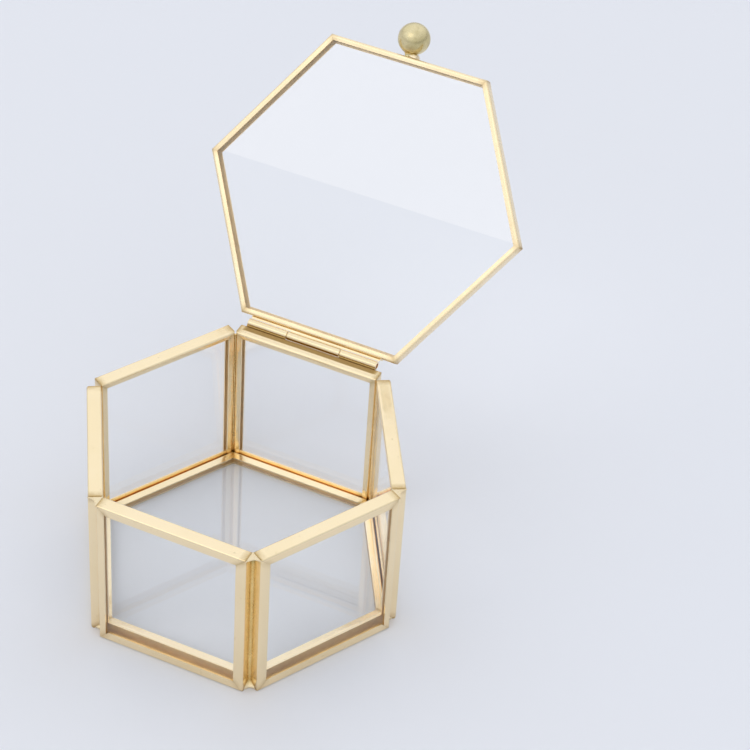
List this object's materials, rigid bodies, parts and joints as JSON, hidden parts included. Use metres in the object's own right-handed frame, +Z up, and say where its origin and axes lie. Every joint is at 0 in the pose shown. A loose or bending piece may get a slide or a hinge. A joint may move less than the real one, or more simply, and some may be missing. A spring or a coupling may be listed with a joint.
{
  "type": "jewelry box",
  "caption": "Hexagonal clear-glass jewelry box in folded brass channel, with a framed glass lid that opens on a rear hinge by a ball knob.",
  "frame": {"origin": "centre of the underside, in the plane the box stands on", "axes": "+Z up, +Y towards the hinge, +X to the right seen from the front"},
  "size_m": [0.1006, 0.1583, 0.1275],
  "materials": {
    "brass": "polished, pale gold, lightly handled",
    "hinge_brass": "polished, a little deeper in tone",
    "glass": "clear, polished",
    "solder": "brass-toned solder, dull"
  },
  "bodies": {
    "box": {"side_glass_1": "glass", "side_glass_2": "glass", "side_glass_3": "glass", "side_glass_4": "glass", "side_glass_5": "glass", "side_glass_6": "glass", "top_rail_1": "brass", "top_rail_2": "brass", "top_rail_3": "brass", "top_rail_4": "brass", "top_rail_5": "brass", "top_rail_6": "brass", "bottom_rail_1": "brass", "bottom_rail_2": "brass", "bottom_rail_3": "brass", "bottom_rail_4": "brass", "bottom_rail_5": "brass", "bottom_rail_6": "brass", "post_left_1": "brass", "post_left_2": "brass", "post_left_3": "brass", "post_left_4": "brass", "post_left_5": "brass", "post_left_6": "brass", "post_right_1": "brass", "post_right_2": "brass", "post_right_3": "brass", "post_right_4": "brass", "post_right_5": "brass", "post_right_6": "brass", "corner_solder_1": "solder", "corner_solder_2": "solder", "corner_solder_3": "solder", "corner_solder_4": "solder", "corner_solder_5": "solder", "corner_solder_6": "solder", "base_glass": "glass", "base_frame": "brass", "hinge_body_leaf": "hinge_brass", "hinge_pin": "hinge_brass"},
    "lid": {"lid_glass": "glass", "lid_rail_1": "brass", "lid_rail_2": "brass", "lid_rail_3": "brass", "lid_rail_4": "brass", "lid_rail_5": "brass", "lid_rail_6": "brass", "hinge_lid_leaf": "hinge_brass", "ball_knob": "brass", "knob_solder": "solder"}
  },
  "joints": [
    {"name": "lid_hinge", "type": "hinge", "parent": "box", "child": "lid", "pos_m": [0, 0.04576, 0.0521], "axis": [1, 0, 0], "range_deg": [0, 130.5]}
  ]
}
